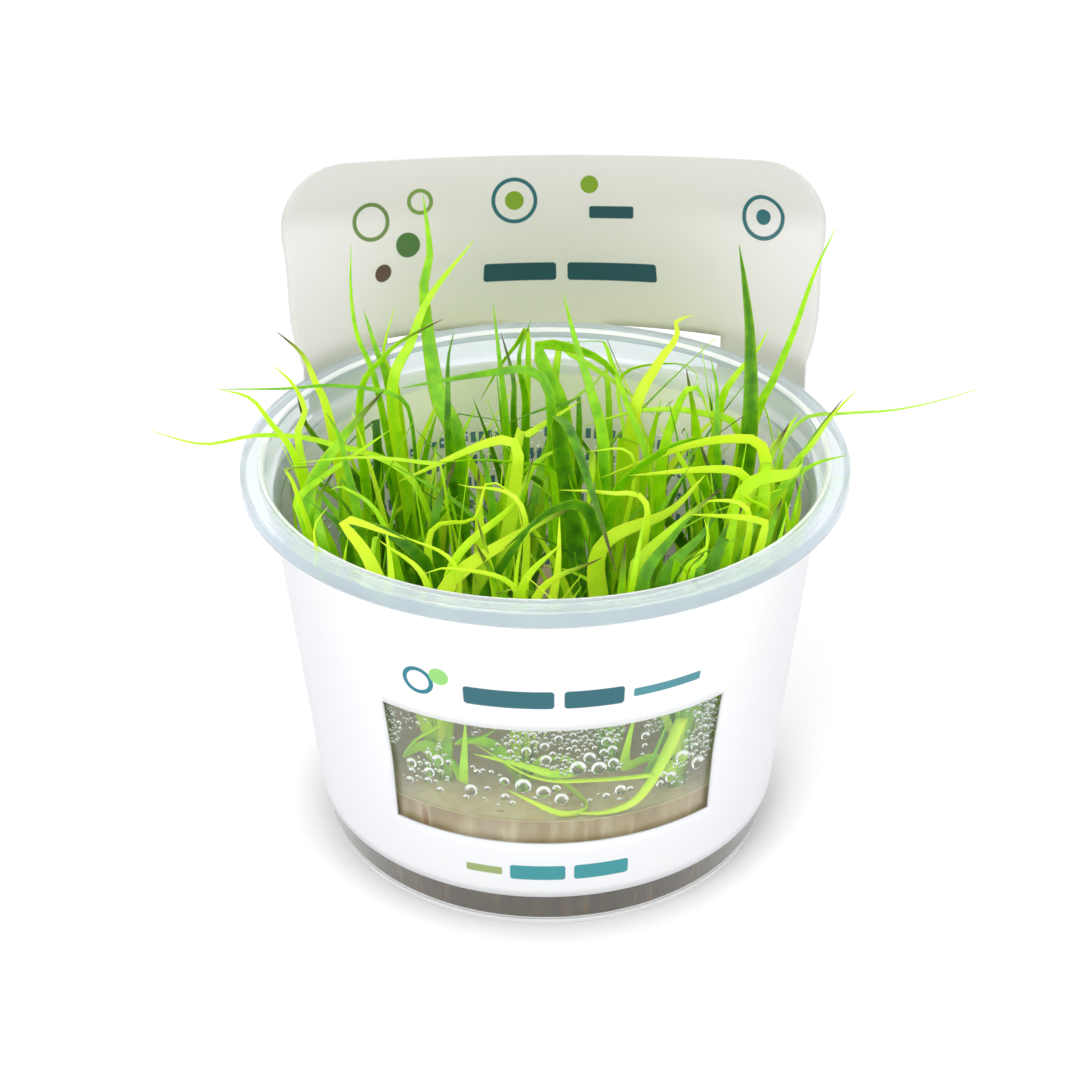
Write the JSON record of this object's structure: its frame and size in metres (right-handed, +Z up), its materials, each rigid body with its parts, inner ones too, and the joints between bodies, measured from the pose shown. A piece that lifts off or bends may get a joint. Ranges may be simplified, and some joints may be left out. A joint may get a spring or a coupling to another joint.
{
  "type": "plant tissue culture cup",
  "caption": "Clear tissue culture cup of creeping rush plantlets rooted in nutrient gel, in a white card sleeve with a window and a tall header.",
  "frame": {"origin": "middle of the cup's flat base, on the surface that it stands on", "axes": "+Z up; -Y is the cup's front, with the sleeve's window; +X is to the right seen from the front"},
  "size_m": [0.128, 0.0972, 0.097],
  "materials": {
    "clear_plastic": "clear polypropylene, smooth",
    "agar": "set agar gel, see-through, wet",
    "white_card": "white coated card, matt, printed in teal and green",
    "rush_green": "fresh green leaf, thin and slightly shiny"
  },
  "bodies": {
    "root": {"cup": "clear_plastic", "gel": "agar", "sleeve": "white_card", "plantlet_01": "rush_green", "plantlet_02": "rush_green", "plantlet_03": "rush_green", "plantlet_04": "rush_green", "plantlet_05": "rush_green", "plantlet_06": "rush_green", "plantlet_07": "rush_green", "plantlet_08": "rush_green", "plantlet_09": "rush_green", "plantlet_10": "rush_green", "plantlet_11": "rush_green", "plantlet_12": "rush_green", "plantlet_13": "rush_green", "plantlet_14": "rush_green", "plantlet_15": "rush_green", "plantlet_16": "rush_green", "plantlet_17": "rush_green", "plantlet_18": "rush_green", "plantlet_19": "rush_green", "plantlet_20": "rush_green", "plantlet_21": "rush_green", "plantlet_22": "rush_green", "plantlet_23": "rush_green"}
  },
  "joints": []
}
